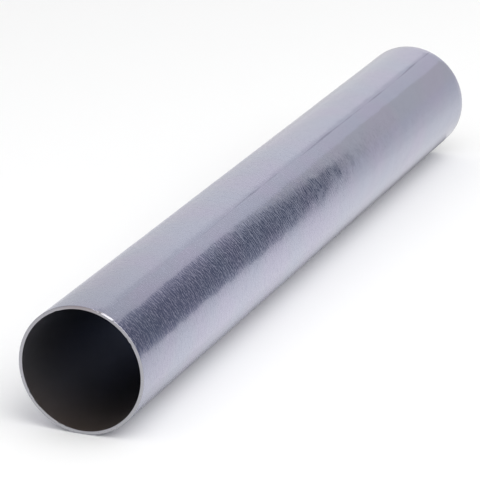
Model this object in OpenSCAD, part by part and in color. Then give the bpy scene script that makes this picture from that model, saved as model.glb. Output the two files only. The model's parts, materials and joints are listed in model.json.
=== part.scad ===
// Round welded steel tube, cut square at both ends and lying on its side.
// It is one rolled and welded piece. Its axis runs along X, and the origin
// is on the floor, under the middle of its length.

/* [Tube] */
// Outside diameter
tube_od = 60.3; // [20:0.1:170]
// Wall thickness
tube_wall = 1.6; // [0.8:0.1:6]
// Length between the two cut faces
tube_length = 450; // [100:5:6000]

/* [Cut ends] */
// Bevel that deburring leaves on the outer rim
outer_deburr = 0.2; // [0.05:0.05:0.35]
// Bevel that deburring leaves on the rim of the bore
bore_deburr = 0.15; // [0.05:0.05:0.35]

/* [Hidden] */

outer_radius = tube_od / 2;
bore_radius = outer_radius - tube_wall;
half_length = tube_length / 2;

// Sides of the preview mesh: about one every 2.5 degrees
round_sides = 144;

// The wall, drawn as radius against length, with a bevel at each of its corners
module wall_section() {
    polygon([
        [bore_radius, -half_length + bore_deburr],
        [bore_radius + bore_deburr, -half_length],
        [outer_radius - outer_deburr, -half_length],
        [outer_radius, -half_length + outer_deburr],
        [outer_radius, half_length - outer_deburr],
        [outer_radius - outer_deburr, half_length],
        [bore_radius + bore_deburr, half_length],
        [bore_radius, half_length - bore_deburr]
    ]);
}

// The wall turned about its axis, then laid along X on the floor
module tube() {
    color("lightsteelblue")
        translate([0, 0, outer_radius])
            rotate([0, 90, 0])
                rotate_extrude($fn = round_sides) wall_section();
}

tube();
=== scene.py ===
# A straight piece of welded steel tube, belt-ground round its outside and
# cut square, lying on a pale floor in soft studio light.

import json
import math
import random

import bmesh
import bpy
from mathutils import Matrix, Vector


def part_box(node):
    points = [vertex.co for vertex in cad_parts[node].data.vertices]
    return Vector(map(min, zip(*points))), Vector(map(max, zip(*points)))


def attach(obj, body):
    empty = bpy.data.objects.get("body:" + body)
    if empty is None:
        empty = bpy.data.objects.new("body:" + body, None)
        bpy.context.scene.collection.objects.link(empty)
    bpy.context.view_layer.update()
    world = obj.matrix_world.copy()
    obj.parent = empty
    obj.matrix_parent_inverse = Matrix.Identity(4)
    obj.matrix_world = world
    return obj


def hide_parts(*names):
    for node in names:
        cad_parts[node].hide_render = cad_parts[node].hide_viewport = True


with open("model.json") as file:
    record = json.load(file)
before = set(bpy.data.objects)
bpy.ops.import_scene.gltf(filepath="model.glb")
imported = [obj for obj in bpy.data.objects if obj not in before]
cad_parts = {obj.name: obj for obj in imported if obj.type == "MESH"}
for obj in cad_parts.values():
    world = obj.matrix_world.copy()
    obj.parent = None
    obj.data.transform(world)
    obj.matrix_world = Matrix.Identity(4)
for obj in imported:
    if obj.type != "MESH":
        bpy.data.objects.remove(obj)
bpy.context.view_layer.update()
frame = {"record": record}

MM = 0.001

# Sizes of the stock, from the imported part
tube_low, tube_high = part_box("tube")
LENGTH = tube_high.x - tube_low.x
RADIUS = (tube_high.z - tube_low.z) / 2
AXIS_HEIGHT = (tube_high.z + tube_low.z) / 2
MOUNTS = {mount["name"]: mount for mount in frame["record"]["mounts"]}
WALL = (MOUNTS["outside"]["dims"]["r_mm"] - MOUNTS["bore"]["dims"]["r_mm"]) * MM
BORE_RADIUS = RADIUS - WALL
ROUND = 2 * math.pi * RADIUS

# How finely the skin is modelled
SIDES = 320
LENGTHWISE_CUTS = 95

# The weld runs the whole length, this far round from the top towards -Y
WELD_TURN = 21
# Trimming leaves a shallow groove along the weld outside and a low bead in the bore
WELD_GROOVE = 0.04 * MM
ROOT_BEAD = 0.1 * MM
# The weld line strays to each side by about this many degrees at most, in this many steps along the tube
WELD_STRAY = 0.9
WELD_STEPS = 16
# How far the skin sinks at most where the strip was not quite flat, and how long a wave is
MILL_WAVES = 0.08 * MM
WAVE_LENGTH = 22 * MM
# The waves stop this far short of each cut, and fade over this length before it
WAVES_CLEAR = 8 * MM
WAVES_FADE = 20 * MM

# Bevels that the deburring wheel leaves on the two rims
OUTER_BEVEL = 0.2 * MM
BORE_BEVEL = 0.15 * MM

# Small flats on the rims of the -X end, where a burr broke off: how far round and how wide an arc,
# both in degrees, and how deep
OUTER_FLATS = (
    (13.5, 1.5, 0.25 * MM), (17.5, 3, 0.38 * MM), (22, 3.5, 0.45 * MM), (26.5, 3.5, 0.5 * MM),
    (30.5, 2.5, 0.38 * MM), (34.5, 2.5, 0.25 * MM), (38.5, 1.5, 0.2 * MM), (43, 1.5, 0.2 * MM),
    (51, 2.5, 0.15 * MM), (137, 3, 0.2 * MM),
)
BORE_FLATS = (
    (-24, 3, 0.12 * MM), (51, 3, 0.15 * MM), (57, 3, 0.2 * MM), (196, 2.5, 0.2 * MM), (203, 4, 0.3 * MM),
    (226, 2, 0.2 * MM), (231, 4, 0.3 * MM), (240, 3, 0.3 * MM), (246, 2, 0.15 * MM),
)
# How far in from the cut such a flat reaches
FLAT_LENGTH = 0.85 * MM

# Belt strokes: lean in degrees before they are stretched to size, length round the tube and width along
# it in millimetres, and a shift. Stretched, they lean about 5 degrees one way and 10 the other
BELT_STROKES = ((9, 2.8, 1.7, 0), (-12, 2.3, 2.0, 40))
STROKE_HEIGHT = 0.004 * MM
# Shares of the length from -X between which the strokes grow fainter
STROKES_FADE = (0.48, 0.65)
# The scale at which a wave texture has one band to the unit
ONE_BAND = 0.314
# Ripples that the forming rolls left: round the tube and along it in millimetres, and their height
RIPPLE_ARC = 7
RIPPLE_LENGTH = 14
RIPPLE_HEIGHT = 0.12 * MM
# How wide a patch of dried oil is, in millimetres
OIL_PATCH = 25

# Level saw marks on the cut faces, about 3 mm long and 0.4 mm apart: how many to the metre along X, Y, Z
SAW_MARKS = (300, 300, 2500)
# The noise that draws them is turned by this many degrees off its own grid, which doesn't tilt the marks
SAW_NOISE_TURN = 25
SAW_DEPTH = 0.02 * MM

# Name of the map that follows the skin: round it in U, along it in V
SKIN_MAP = "skin"


def linear(hex_colour):
    """An sRGB hex value as the linear colour that a shader socket takes."""
    shares = [int(hex_colour[i:i + 2], 16) / 255 for i in (1, 3, 5)]
    return tuple(s / 12.92 if s <= 0.04045 else ((s + 0.055) / 1.055) ** 2.4 for s in shares) + (1.0,)


def add_node(tree, kind, values=None, links=None, **settings):
    """Adds a node with its settings, the values on its own sockets, and what feeds its other sockets."""
    node = tree.nodes.new(kind)
    for name, setting in settings.items():
        setattr(node, name, setting)
    for socket, value in (values or {}).items():
        node.inputs[socket].default_value = value
    for socket, source in (links or {}).items():
        tree.links.new(source, node.inputs[socket])
    return node


def new_material(name):
    """An empty node material and its tree."""
    material = bpy.data.materials.new(name)
    material.use_nodes = True
    material.node_tree.nodes.clear()
    return material, material.node_tree


def colour_along(tree, value, stops):
    """A colour that changes with a value: each stop is a value and the colour there."""
    first, last = stops[0][0], stops[-1][0]
    share = add_node(tree, "ShaderNodeMapRange", {"From Min": first, "From Max": last}, {"Value": value})
    ramp = add_node(tree, "ShaderNodeValToRGB", links={"Fac": share.outputs["Result"]})
    elements = ramp.color_ramp.elements
    while len(elements) < len(stops):
        elements.new(1.0)
    for element, (at, colour) in zip(elements, stops):
        element.position = (at - first) / (last - first)
        element.color = linear(colour)
    return ramp.outputs["Color"]


# ---------------------------------------------------------------------------
# Materials
# ---------------------------------------------------------------------------

def belt_ground_steel():
    """Low-carbon steel ground with a fine belt while the tube turns.

    The grit leaves short scratches round the tube, so what it reflects
    smears along its length and the dark reflections look finely hatched.
    """
    material, tree = new_material("belt_ground_steel")
    skin = add_node(tree, "ShaderNodeUVMap", uv_map=SKIN_MAP)
    # The map in millimetres: X round the tube, Y along it
    skin_mm = add_node(tree, "ShaderNodeMapping", {"Scale": (ROUND / MM, LENGTH / MM, 1)},
                       {"Vector": skin.outputs["UV"]})
    # Grit scratches are about 0.1 mm apart, too fine to show, so they are strokes about 2 mm apart
    strokes = None
    for lean, arc, spacing, shift in BELT_STROKES:
        laid = add_node(tree, "ShaderNodeMapping",
                        {"Location": (shift, shift, 0), "Rotation": (0, 0, math.radians(lean)),
                         "Scale": (1 / arc, 1 / spacing, 1)},
                        {"Vector": skin_mm.outputs["Vector"]})
        bands = add_node(tree, "ShaderNodeTexWave", {"Scale": ONE_BAND, "Distortion": 9.0, "Detail": 2.0,
                                                     "Detail Scale": 1.6, "Detail Roughness": 0.6},
                         {"Vector": laid.outputs["Vector"]}, bands_direction="Y")
        if strokes is None:
            strokes = bands.outputs["Fac"]
        else:
            strokes = add_node(tree, "ShaderNodeMath", links={0: strokes, 1: bands.outputs["Fac"]},
                               operation="ADD").outputs["Value"]
    # The belt has left the +X half smoother, so the strokes are fainter there
    axes = add_node(tree, "ShaderNodeSeparateXYZ", links={"Vector": skin.outputs["UV"]})
    keenness = add_node(tree, "ShaderNodeMapRange",
                        {"From Min": STROKES_FADE[0], "From Max": STROKES_FADE[1],
                         "To Min": 1.0, "To Max": 0.55},
                        {"Value": axes.outputs["Y"]})
    height = add_node(tree, "ShaderNodeMath", links={0: strokes, 1: keenness.outputs["Result"]},
                      operation="MULTIPLY")
    # The ripples from the forming rolls fray the edges of the reflections
    rolled = add_node(tree, "ShaderNodeMapping", {"Scale": (1 / RIPPLE_ARC, 1 / RIPPLE_LENGTH, 1)},
                      {"Vector": skin_mm.outputs["Vector"]})
    ripples = add_node(tree, "ShaderNodeTexNoise", {"Scale": 1.0, "Detail": 1.0},
                       {"Vector": rolled.outputs["Vector"]}, noise_dimensions="2D")
    rippled = add_node(tree, "ShaderNodeBump", {"Strength": 1.0, "Distance": RIPPLE_HEIGHT},
                       {"Height": ripples.outputs["Fac"]})
    bump = add_node(tree, "ShaderNodeBump", {"Strength": 1.0, "Distance": STROKE_HEIGHT},
                    {"Height": height.outputs["Value"], "Normal": rippled.outputs["Normal"]})
    # The hollows of the strokes shine more than their crests
    rough = add_node(tree, "ShaderNodeMapRange",
                     {"From Min": 0.3, "From Max": 1.7, "To Min": 0.06, "To Max": 0.36},
                     {"Value": height.outputs["Value"]})
    # Dried oil tints the steel faintly in patches a few centimetres across
    oil = add_node(tree, "ShaderNodeTexNoise", {"Scale": 1 / OIL_PATCH, "Detail": 0.0},
                   {"Vector": skin_mm.outputs["Vector"]}, noise_dimensions="2D")
    tint = colour_along(tree, oil.outputs["Fac"], ((0.3, "#C0BED3"), (0.5, "#BEBFD2"), (0.7, "#BDC0D3")))
    # The skin's colour is darker for the last few centimetres before the -X cut, and a little darker over
    # the +X half
    end_shade = colour_along(tree, axes.outputs["Y"],
                             ((0.0, "#EDEDED"), (0.1, "#F6F6F6"), (0.22, "#FFFFFF"), (0.55, "#FFFFFF"),
                              (0.7, "#FBFBFB"), (1.0, "#FBFBFB")))
    # The weld line is where the map meets itself: a thin darker seam that comes and goes
    seam = add_node(tree, "ShaderNodeMath", {1: 0.5}, {0: axes.outputs["X"]}, operation="PINGPONG")
    breaks = add_node(tree, "ShaderNodeTexNoise", {"Scale": 9.0, "Detail": 3.0}, {"W": axes.outputs["Y"]},
                      noise_dimensions="1D")
    ground_off = add_node(tree, "ShaderNodeMapRange",
                          {"From Min": 0.1, "From Max": 0.45, "To Min": 0.6, "To Max": 0.0},
                          {"Value": axes.outputs["Y"]})
    gaps = add_node(tree, "ShaderNodeMapRange",
                    {"From Min": 0.35, "From Max": 0.6, "To Min": 0.0, "To Max": 0.7},
                    {"Value": breaks.outputs["Fac"]})
    worn = add_node(tree, "ShaderNodeMath",
                    links={0: gaps.outputs["Result"], 1: ground_off.outputs["Result"]}, operation="ADD")
    # How far a point is from the weld line, made greater where the line is worn so that it fades
    seam_mm = add_node(tree, "ShaderNodeMath", {1: ROUND / MM},
                       {0: seam.outputs["Value"], 2: worn.outputs["Value"]}, operation="MULTIPLY_ADD")
    weld_shade = colour_along(tree, seam_mm.outputs["Value"],
                              ((0.0, "#D6D6DA"), (0.3, "#E0E0E4"), (0.9, "#FFFFFF")))
    shade = add_node(tree, "ShaderNodeVectorMath", links={0: end_shade, 1: weld_shade},
                     operation="MULTIPLY")
    colour = add_node(tree, "ShaderNodeVectorMath", links={0: tint, 1: shade.outputs["Vector"]},
                      operation="MULTIPLY")
    tangent = add_node(tree, "ShaderNodeTangent", direction_type="UV_MAP", uv_map=SKIN_MAP)
    metal = add_node(tree, "ShaderNodeBsdfPrincipled",
                     {"Metallic": 1.0, "Anisotropic": 0.4, "Anisotropic Rotation": 0.25},
                     {"Base Color": colour.outputs["Vector"], "Roughness": rough.outputs["Result"],
                      "Normal": bump.outputs["Normal"], "Tangent": tangent.outputs["Tangent"]})
    add_node(tree, "ShaderNodeOutputMaterial", links={"Surface": metal.outputs["BSDF"]})
    return material


def sawn_steel():
    """Bare steel cut by a fine-toothed saw and brushed.

    It shows as a clean grey ring with straight marks. The cut runs hottest at
    the top, and the steel is tinted faintly brown there. Below the axis the
    colour is painted darker towards the floor, as painted shade.
    """
    material, tree = new_material("sawn_steel")
    place = add_node(tree, "ShaderNodeTexCoord")
    laid = add_node(tree, "ShaderNodeMapping",
                    {"Rotation": (math.radians(SAW_NOISE_TURN), 0, 0), "Scale": SAW_MARKS},
                    {"Vector": place.outputs["Object"]})
    marks = add_node(tree, "ShaderNodeTexNoise", {"Scale": 1.0, "Detail": 3.0},
                     {"Vector": laid.outputs["Vector"]})
    bump = add_node(tree, "ShaderNodeBump", {"Strength": 1.0, "Distance": SAW_DEPTH},
                    {"Height": marks.outputs["Fac"]})
    rough = add_node(tree, "ShaderNodeMapRange", {"To Min": 0.2, "To Max": 0.42},
                     {"Value": marks.outputs["Fac"]})
    axes = add_node(tree, "ShaderNodeSeparateXYZ", links={"Vector": place.outputs["Object"]})
    # Painted shade: darker from the axis down to the floor, where the cut faces the shaded floor; the
    # brown at the top is the steel's own tint
    tint = colour_along(tree, axes.outputs["Z"],
                        ((0, "#A6A6AB"), (AXIS_HEIGHT, "#B2B2B8"), (AXIS_HEIGHT + 0.9 * RADIUS, "#ACABB0"),
                         (AXIS_HEIGHT + RADIUS, "#A0979B")))
    metal = add_node(tree, "ShaderNodeBsdfPrincipled", {"Metallic": 1.0},
                     {"Base Color": tint, "Roughness": rough.outputs["Result"],
                      "Normal": bump.outputs["Normal"]})
    add_node(tree, "ShaderNodeOutputMaterial", links={"Surface": metal.outputs["BSDF"]})
    return material


def mill_finish_bore():
    """Cold-rolled strip as it came from the mill, dulled by thin oxide and dried oil.

    Light dims at each of its many reflections in the tube, so the bore looks nearly black.
    """
    material, tree = new_material("mill_finish_bore")
    place = add_node(tree, "ShaderNodeTexCoord")
    axes = add_node(tree, "ShaderNodeSeparateXYZ", links={"Vector": place.outputs["Object"]})
    # The colour is browner low down by the -X mouth, and bluer higher up and further in
    # Six tenths of the distance in from the -X cut, added to the height above the floor
    inwards = add_node(tree, "ShaderNodeMath", {1: 0.6, 2: 0.3 * LENGTH}, {0: axes.outputs["X"]},
                       operation="MULTIPLY_ADD")
    away = add_node(tree, "ShaderNodeMath", links={0: inwards.outputs["Value"], 1: axes.outputs["Z"]},
                    operation="ADD")
    colour = colour_along(tree, away.outputs["Value"],
                          ((0, "#AE9D93"), (0.03, "#9F9DA1"), (0.07, "#9CA1B0")))
    metal = add_node(tree, "ShaderNodeBsdfPrincipled", {"Metallic": 0.9, "Roughness": 0.3},
                     {"Base Color": colour})
    add_node(tree, "ShaderNodeOutputMaterial", links={"Surface": metal.outputs["BSDF"]})
    return material


# ---------------------------------------------------------------------------
# The tube
# ---------------------------------------------------------------------------

def deselect_everything():
    if bpy.context.object is not None and bpy.context.object.mode != "OBJECT":
        bpy.ops.object.mode_set(mode="OBJECT")
    bpy.ops.object.select_all(action="DESELECT")


def radius_at(point):
    return math.hypot(point.y, point.z - AXIS_HEIGHT)


def turn_at(point):
    """How far round a point is, from the top towards -Y, from -180 to 180 degrees."""
    return math.degrees(math.atan2(-point.y, point.z - AXIS_HEIGHT))


def at_an_end(point):
    return abs(abs(point.x) - LENGTH / 2) < 0.01 * MM


def select_edges(tube, wanted):
    """Leaves the tube in edit mode with only the edges selected whose two ends pass the test."""
    if tube.mode != "EDIT":
        bpy.ops.object.mode_set(mode="EDIT")
    bpy.ops.mesh.select_mode(type="EDGE")
    bpy.ops.mesh.select_all(action="DESELECT")
    skin = bmesh.from_edit_mesh(tube.data)
    for edge in skin.edges:
        edge.select_set(wanted(edge.verts[0].co, edge.verts[1].co))
    bmesh.update_edit_mesh(tube.data)


def select_points(tube, wanted):
    """Leaves the tube in edit mode with only the points selected that pass the test."""
    if tube.mode != "EDIT":
        bpy.ops.object.mode_set(mode="EDIT")
    bpy.ops.mesh.select_mode(type="VERT")
    bpy.ops.mesh.select_all(action="DESELECT")
    skin = bmesh.from_edit_mesh(tube.data)
    for point in skin.verts:
        point.select_set(wanted(point.co))
    skin.select_flush_mode()
    bmesh.update_edit_mesh(tube.data)


def group_points(tube, name, weight_of):
    """Puts the points in a group, each with the weight that the function gives it."""
    group = tube.vertex_groups.new(name=name)
    for point in tube.data.vertices:
        weight = weight_of(point.co)
        if weight > 0:
            group.add([point.index], weight, "REPLACE")


def roughen(tube, name, group, height, grain, direction="NORMAL"):
    """Pushes a group of points about by up to that height, with lumps of that size, and applies it."""
    lumps = bpy.data.textures.new(name, "CLOUDS")
    lumps.noise_scale = grain
    lumps.noise_depth = 1
    push = tube.modifiers.new(name, "DISPLACE")
    push.texture = lumps
    push.texture_coords = "LOCAL"
    push.vertex_group = group
    push.direction = direction
    push.mid_level = 0
    push.strength = height
    bpy.ops.object.modifier_apply(modifier=name)


def roll_tube():
    """The skin of the tube with its weld line, cut to rings along its length."""
    deselect_everything()
    bpy.ops.mesh.primitive_cylinder_add(
        vertices=SIDES, radius=RADIUS, depth=LENGTH, end_fill_type="NOTHING",
        location=(0, 0, AXIS_HEIGHT), rotation=(0, math.pi / 2, 0))
    tube = bpy.context.object
    tube.name = "welded_steel_tube"
    bpy.ops.object.transform_apply(location=True, rotation=True, scale=True)
    tube.data.uv_layers[0].name = SKIN_MAP
    select_edges(tube, lambda a, b: abs(a.x - b.x) > LENGTH / 2)
    bpy.ops.mesh.subdivide(number_cuts=LENGTHWISE_CUTS)
    # The primitive's first side, where the map begins and ends, faces +Y: turn it to the weld
    bpy.ops.mesh.select_all(action="SELECT")
    bpy.ops.transform.rotate(value=-math.radians(WELD_TURN) - math.pi / 2, orient_axis="X",
                             center_override=(0, 0, AXIS_HEIGHT))
    bpy.ops.object.mode_set(mode="OBJECT")
    return tube


def sink_waves(tube):
    """The strip is never quite flat after rolling, so reflections waver along the tube."""
    group_points(tube, "strip",
                 lambda p: min(1, max(0, (LENGTH / 2 - abs(p.x) - WAVES_CLEAR) / WAVES_FADE)))
    roughen(tube, "mill_waves", "strip", -MILL_WAVES, WAVE_LENGTH)


def wander_weld(tube):
    """Lets the weld line stray a little to each side, as the strip does under the welding head."""
    draw = random.Random(4)
    step = LENGTH / WELD_STEPS
    for i in range(WELD_STEPS + 1):
        x = -LENGTH / 2 + step * i
        select_points(tube, lambda p: abs(p.x - x) < 0.6 * LENGTH / LENGTHWISE_CUTS
                      and abs(turn_at(p) - WELD_TURN) < 1)
        bpy.ops.transform.rotate(
            value=math.radians(draw.uniform(-WELD_STRAY, WELD_STRAY)), orient_axis="X",
            center_override=(0, 0, AXIS_HEIGHT), use_proportional_edit=True,
            proportional_edit_falloff="SMOOTH", proportional_size=step)
    bpy.ops.object.mode_set(mode="OBJECT")


def give_wall(tube):
    wall = tube.modifiers.new("wall", "SOLIDIFY")
    wall.thickness = WALL
    wall.offset = -1
    wall.use_even_offset = True
    bpy.ops.object.modifier_apply(modifier=wall.name)
    bpy.ops.object.mode_set(mode="EDIT")
    bpy.ops.mesh.select_all(action="SELECT")
    bpy.ops.mesh.bisect(plane_co=(FLAT_LENGTH - LENGTH / 2, 0, 0), plane_no=(1, 0, 0))
    for rim_radius, bevel in ((RADIUS, OUTER_BEVEL), (BORE_RADIUS, BORE_BEVEL)):
        select_edges(tube, lambda a, b: at_an_end(a) and at_an_end(b)
                     and abs(radius_at(a) - rim_radius) < WALL / 4
                     and abs(radius_at(b) - rim_radius) < WALL / 4)
        bpy.ops.mesh.bevel(offset=bevel, segments=3, affect="EDGES")
    bpy.ops.object.mode_set(mode="OBJECT")


def trim_weld(tube):
    """The uneven groove that the scarfing tool leaves over the weld, and the trimmed bead under it."""
    weld = tube.vertex_groups["weld"]
    root = tube.vertex_groups.new(name="root")
    middle = RADIUS - WALL / 2
    for point in tube.data.vertices:
        inside = radius_at(point.co) < middle
        weights = [g.weight for g in point.groups if g.group == weld.index]
        if inside and weights:
            root.add([point.index], weights[0], "REPLACE")
            weld.remove([point.index])
    roughen(tube, "scarfed_groove", "weld", -WELD_GROOVE, 5 * MM)
    roughen(tube, "root_bead", "root", ROOT_BEAD, 8 * MM)


def deburr_unevenly(tube):
    """Flats along the rims of the -X end, where a burr broke off, and a slightly uneven cut."""
    for flats, rim_radius, way in ((OUTER_FLATS, RADIUS, -1), (BORE_FLATS, BORE_RADIUS, 1)):
        for turn, arc, depth in flats:
            select_points(tube, lambda p: p.x < -LENGTH / 2 + FLAT_LENGTH / 2
                          and abs(radius_at(p) - rim_radius) < OUTER_BEVEL * 1.1
                          and abs((turn_at(p) - turn + 180) % 360 - 180) < arc / 2)
            slope = math.radians(turn)
            bpy.ops.transform.translate(
                value=(depth * 0.2, -math.sin(slope) * way * depth, math.cos(slope) * way * depth))
    bpy.ops.object.mode_set(mode="OBJECT")
    group_points(tube, "cut", lambda p: 1.0 if p.x < FLAT_LENGTH / 2 - LENGTH / 2 else 0.0)
    roughen(tube, "saw_burr", "cut", 0.12 * MM, 0.9 * MM, "X")


def make_tube():
    tube = roll_tube()
    weld_step = 360 / SIDES
    # The belt has ground the weld nearly flush over the -X half
    group_points(tube, "weld", lambda p: 0 if at_an_end(p)
                 else max(0, 1 - abs(turn_at(p) - WELD_TURN) / (1.6 * weld_step))
                 * min(1, max(0.3, 0.6 + 4 * p.x)))
    wander_weld(tube)
    sink_waves(tube)
    give_wall(tube)
    trim_weld(tube)
    deburr_unevenly(tube)
    tube.data.materials.append(belt_ground_steel())
    tube.data.materials.append(sawn_steel())
    tube.data.materials.append(mill_finish_bore())
    # The skin keeps the first finish; the cut faces with their bevels and the bore take the other two
    for face in tube.data.polygons:
        if abs(face.normal.x) > 0.3:
            face.material_index = 1
        elif radius_at(face.center) < RADIUS - WALL / 2:
            face.material_index = 2
    bpy.ops.object.shade_smooth_by_angle(angle=math.radians(35))
    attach(tube, "root")
    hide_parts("tube")


make_tube()


# ---------------------------------------------------------------------------
# Floor, light and camera
# ---------------------------------------------------------------------------

def make_floor():
    deselect_everything()
    bpy.ops.mesh.primitive_plane_add(size=40)
    floor = bpy.context.object
    floor.name = "floor"
    material, tree = new_material("pale_floor")
    paint = add_node(tree, "ShaderNodeBsdfPrincipled", {"Base Color": linear("#F4F4F4"), "Roughness": 0.9})
    add_node(tree, "ShaderNodeOutputMaterial", links={"Surface": paint.outputs["BSDF"]})
    floor.data.materials.append(material)


def reflections_only(card):
    """Lets a card show in reflections, and nowhere else."""
    card.visible_camera = False
    card.visible_diffuse = False
    card.visible_shadow = False
    card.visible_transmission = False


def add_glow(tree, colour, strength):
    glow = add_node(tree, "ShaderNodeEmission", links={"Color": colour, "Strength": strength})
    add_node(tree, "ShaderNodeOutputMaterial", links={"Surface": glow.outputs["Emission"]})


def hang_card(name, distance, inner_edge, outer_radius, shades, strengths):
    """A flat card square to the tube's axis that only reflections see, and its twin beyond the other end.

    The card is a slice of a ring round the axis. Turns are in degrees from straight up towards -Y.
    The inner edge is pairs of a turn and the radius there, and the outer edge is round. Shades are pairs
    of a turn and the colour there. Strengths are two pairs of a distance from the axis and how strongly
    the card glows there.
    """
    first, last = (math.radians(inner_edge[i][0]) for i in (0, -1))
    corners = [(math.radians(turn), radius) for turn, radius in inner_edge]
    steps = 24
    corners += [(last + (first - last) * i / steps, outer_radius) for i in range(steps + 1)]
    outline = [(distance, -radius * math.sin(turn), radius * math.cos(turn)) for turn, radius in corners]
    material, tree = new_material(name)
    place = add_node(tree, "ShaderNodeTexCoord")
    axes = add_node(tree, "ShaderNodeSeparateXYZ", links={"Vector": place.outputs["Object"]})
    across = add_node(tree, "ShaderNodeMath", {1: -1.0}, {0: axes.outputs["Y"]}, operation="MULTIPLY")
    turn = add_node(tree, "ShaderNodeMath", links={0: across.outputs["Value"], 1: axes.outputs["Z"]},
                    operation="ARCTAN2")
    colour = colour_along(tree, turn.outputs["Value"], [(math.radians(at), shade) for at, shade in shades])
    flat = add_node(tree, "ShaderNodeCombineXYZ", links={"Y": axes.outputs["Y"], "Z": axes.outputs["Z"]})
    out_from_axis = add_node(tree, "ShaderNodeVectorMath", links={0: flat.outputs["Vector"]},
                             operation="LENGTH")
    (near, near_strength), (far, far_strength) = strengths
    strength = add_node(tree, "ShaderNodeMapRange",
                        {"From Min": near, "From Max": far,
                         "To Min": near_strength, "To Max": far_strength},
                        {"Value": out_from_axis.outputs["Value"]})
    add_glow(tree, colour, strength.outputs["Result"])
    for side, facing in (("ahead", 0), ("behind", math.pi)):
        mesh = bpy.data.meshes.new(f"{name}_{side}")
        mesh.from_pydata(outline, [], [tuple(range(len(outline)))])
        mesh.materials.append(material)
        card = bpy.data.objects.new(mesh.name, mesh)
        bpy.context.scene.collection.objects.link(card)
        card.location.z = AXIS_HEIGHT
        card.rotation_euler.z = facing
        reflections_only(card)


def lay_card(name, ends, width, height, shades, strengths=((0, 1), (1, 1))):
    """A card along the floor under the tube that only reflections see.

    Ends are the places along the tube where it begins and ends. Shades are pairs of a distance to either
    side of the tube's axis and the colour there. Strengths are two pairs of a place along the tube and
    how strongly the card glows there.
    """
    length = ends[1] - ends[0]
    deselect_everything()
    bpy.ops.mesh.primitive_plane_add(size=1)
    card = bpy.context.object
    card.name = name
    card.scale = (length, width, 1)
    card.location = ((ends[0] + ends[1]) / 2, 0, height)
    material, tree = new_material(name)
    place = add_node(tree, "ShaderNodeTexCoord")
    in_metres = add_node(tree, "ShaderNodeMapping",
                         {"Location": (card.location.x, 0, 0), "Scale": (length, width, 1)},
                         {"Vector": place.outputs["Object"]})
    axes = add_node(tree, "ShaderNodeSeparateXYZ", links={"Vector": in_metres.outputs["Vector"]})
    aside = add_node(tree, "ShaderNodeMath", links={0: axes.outputs["Y"]}, operation="ABSOLUTE")
    (near, near_strength), (far, far_strength) = strengths
    strength = add_node(tree, "ShaderNodeMapRange",
                        {"From Min": near, "From Max": far,
                         "To Min": near_strength, "To Max": far_strength},
                        {"Value": axes.outputs["X"]})
    add_glow(tree, colour_along(tree, aside.outputs["Value"], shades), strength.outputs["Result"])
    card.data.materials.append(material)
    reflections_only(card)


def light_the_studio():
    world = bpy.data.worlds.new("studio")
    bpy.context.scene.world = world
    world.use_nodes = True
    # A white room, a little under full brightness
    backdrop = world.node_tree.nodes["Background"]
    backdrop.inputs["Color"].default_value = linear("#FFFFFF")
    backdrop.inputs["Strength"].default_value = 0.78
    softbox = bpy.data.lights.new("softbox", "AREA")
    softbox.shape = "SQUARE"
    softbox.size = 1.4
    # Blender spreads a square light's watts evenly: this is a radiance of 2
    softbox.energy = 2.0 * math.pi * softbox.size ** 2
    overhead = bpy.data.objects.new("softbox", softbox)
    bpy.context.scene.collection.objects.link(overhead)
    place = Vector((-0.4, -0.7, 1.2))
    overhead.location = place
    overhead.rotation_euler = place.to_track_quat("Z", "Y").to_euler()
    overhead.visible_camera = False
    # Above and beside the tube the pale backdrop falls off in two soft steps
    hang_card("grey_card", 1.2, ((-100, 0.02), (96, 0.02)), 3.0,
              ((-100, "#E5E5E5"), (-73, "#E5E5E5"), (-45, "#EAEAEA"), (-13, "#EFEFEF"), (-10, "#D8D8DB"),
               (23, "#D8D8DB"), (26, "#CACAC9"), (62, "#CBCBCB"), (75, "#CBCBCF"), (96, "#D4D4D6")),
              ((0.5, 1.03), (0.88, 0.94)))
    # The dark side of the room makes the long dark band
    hang_card("black_card", 0.45,
              ((24, 0.33), (30, 0.31), (40, 0.28), (52, 0.236), (75, 0.242), (93, 0.29)), 1.0,
              ((24, "#8F929D"), (31, "#7C808E"), (48, "#5E6473"), (74, "#606675"), (86, "#727786"),
               (93, "#9498A3")), ((0.33, 1.0), (0.42, 1.25)))
    # Two cards that only reflections see stand in for the floor, with painted light: painted shadow of the
    # tube close by, and a painted falloff into the room further out
    lay_card("floor_card", (-1.2, 1.2), 2.4, 0.5 * MM,
             ((0.0, "#F0F0F0"), (0.055, "#F5F5F5"), (0.092, "#F0F0F0"), (0.124, "#EBEBEC"),
              (0.2, "#E8E8EA"), (0.5, "#E4E4E6"), (1.2, "#DCDCE0")), ((-0.15, 1.06), (0.4, 0.88)))
    # Painted shadow: the tube's shade on the floor, darkest under its axis, as its underside reflects it
    lay_card("shade_card", (-LENGTH / 2, LENGTH / 2 + 18 * MM), 0.07, 0.6 * MM,
             ((0.0, "#505054"), (0.016, "#808084"), (0.0206, "#ACACB0"), (0.0234, "#C6C6CA"),
              (0.0265, "#DEDEE0"), (0.035, "#F0F0F0")))


def set_up_camera():
    azimuth, elevation, distance = math.radians(-68.276), math.radians(19.192), 1.5332
    aim = Vector((-0.0364, 0, 0.0298))
    back = Vector((math.sin(azimuth) * math.cos(elevation), -math.cos(azimuth) * math.cos(elevation),
                   math.sin(elevation)))
    lens = bpy.data.cameras.new("camera")
    lens.lens = 233.96
    lens.clip_end = 100
    camera = bpy.data.objects.new("camera", lens)
    bpy.context.scene.collection.objects.link(camera)
    camera.location = aim + back * distance
    camera.rotation_mode = "QUATERNION"
    camera.rotation_quaternion = (-back).to_track_quat("-Z", "Y")
    bpy.context.scene.camera = camera


make_floor()
light_the_studio()
set_up_camera()
bpy.context.scene.view_settings.view_transform = "Standard"
